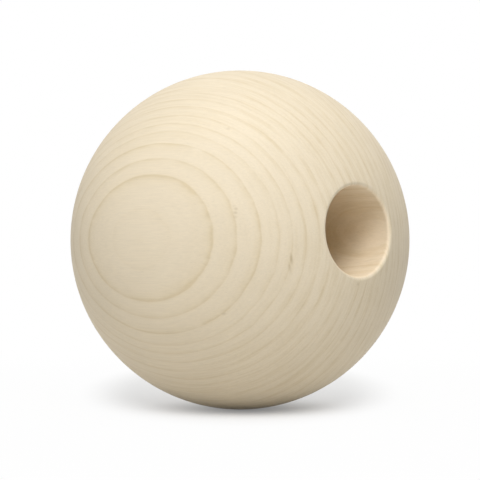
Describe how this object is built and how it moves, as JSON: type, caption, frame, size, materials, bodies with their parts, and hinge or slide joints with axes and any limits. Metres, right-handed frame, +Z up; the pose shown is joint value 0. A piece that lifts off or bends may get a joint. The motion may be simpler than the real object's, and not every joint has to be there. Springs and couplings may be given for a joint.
{
  "type": "wooden dowel cap",
  "caption": "Round ball cap of pale solid wood with a flat-bottomed blind bore, sanded round at its mouth, that takes the end of a dowel or rod.",
  "frame": {"origin": "centre of the ball, which is also the centre of the bore's flat floor, where the dowel's end seats", "axes": "+X along the bore, out of its mouth; +Z up, square to the bore, as the cap sits on the end of a level rod"},
  "size_m": [0.0747, 0.0762, 0.0762],
  "materials": {
    "pale_wood": "bare, fine sanded, closed-pored pale hardwood with thin brown growth-ring lines"
  },
  "bodies": {
    "root": {"ball_cap": "pale_wood"}
  },
  "joints": []
}
